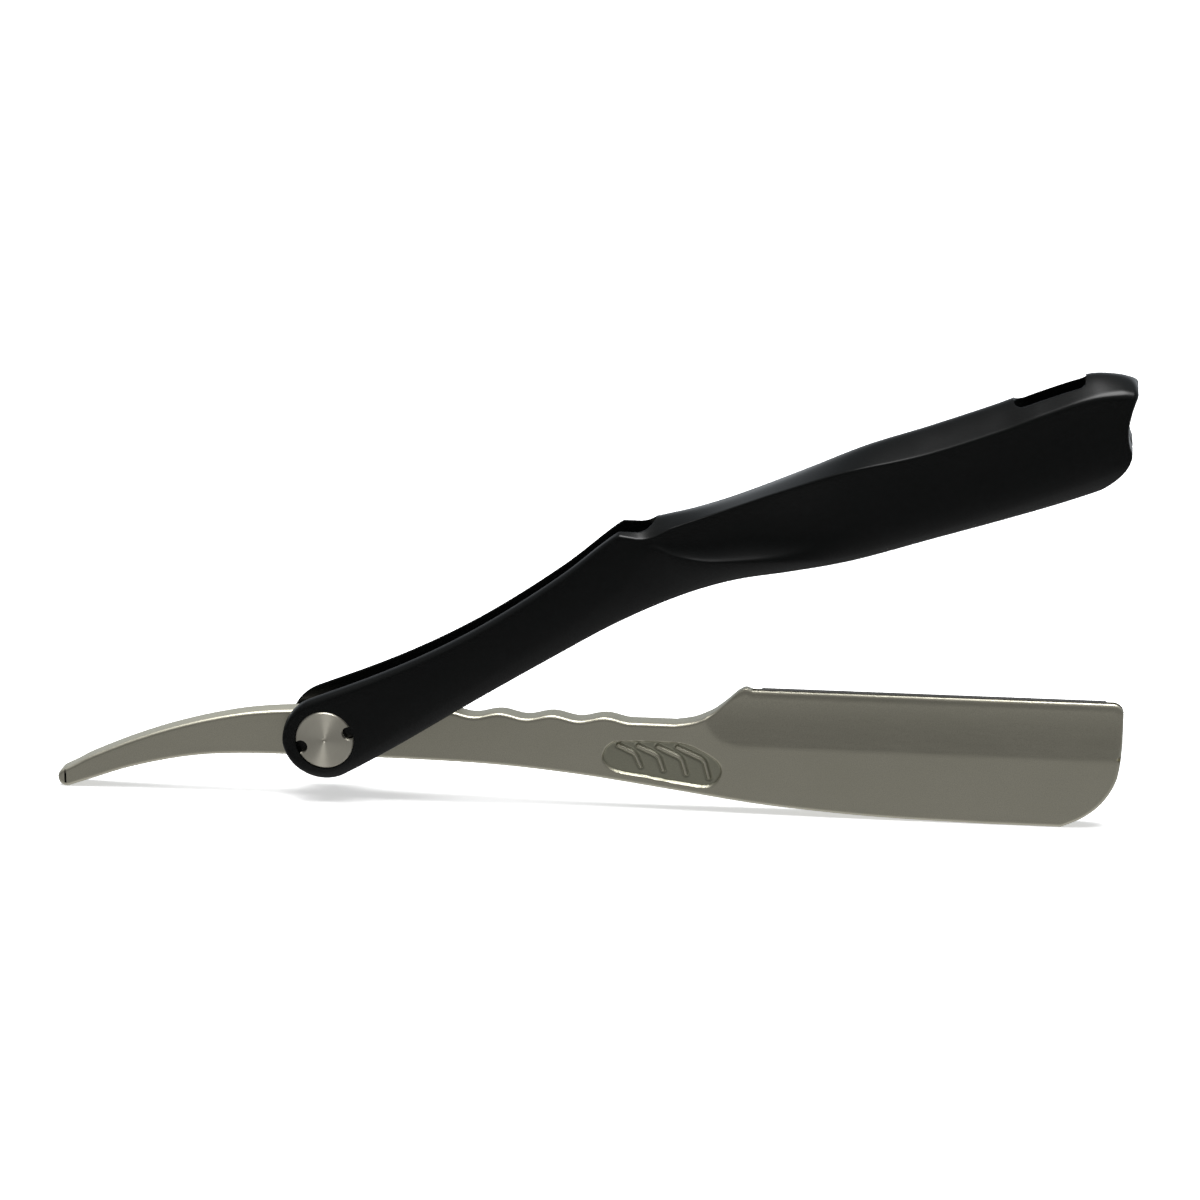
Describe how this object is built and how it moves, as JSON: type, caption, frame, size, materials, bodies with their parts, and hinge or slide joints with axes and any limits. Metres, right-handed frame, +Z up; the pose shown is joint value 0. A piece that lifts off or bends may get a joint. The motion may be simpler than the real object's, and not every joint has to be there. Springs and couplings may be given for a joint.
{
  "type": "straight razor",
  "caption": "Folding straight razor with a slim steel blade arm, a hollow-sided head that clamps a replaceable blade edge, and a forked black handle on a friction pivot.",
  "frame": {"origin": "bottom centre of the razor's box, on the surface that it stands on with its tail tip and the spine of its head", "axes": "+X along the blade arm towards the toe of the head, +Y through the thickness with the notched screw at -Y and its barrel nut at +Y, +Z up towards the blade's edge"},
  "size_m": [0.1871, 0.0152, 0.0801],
  "materials": {
    "satin_steel": "fine bead-blasted and satin-brushed stainless steel",
    "turned_steel": "face-turned stainless steel with fine rings",
    "spring_steel": "plain rolled spring steel",
    "blade_steel": "polished blade strip with a ground bevel",
    "black_resin": "satin black heat-proof moulded resin",
    "bush_brass": "turned brass",
    "washer_nylon": "dull black nylon"
  },
  "bodies": {
    "arm": {"blade_arm": "satin_steel", "tang_bush": "bush_brass", "clamp_spring": "spring_steel", "clamp_pin_heel": "spring_steel", "clamp_pin_toe": "spring_steel"},
    "handle": {"handle": "black_resin", "pivot_screw": "turned_steel", "pivot_barrel": "turned_steel", "front_thrust_washer": "washer_nylon", "rear_thrust_washer": "washer_nylon", "wave_washer": "spring_steel"},
    "blade": {"razor_blade": "blade_steel"}
  },
  "joints": [
    {"name": "handle_fold", "type": "hinge", "parent": "arm", "child": "handle", "pos_m": [-0.04411, 0, 0.01183], "axis": [0, -1, 0], "range_deg": [-21, 300]},
    {"name": "blade_slide", "type": "slide", "parent": "arm", "child": "blade", "axis": [1, 0, 0], "range_m": [0, 0.063]}
  ]
}
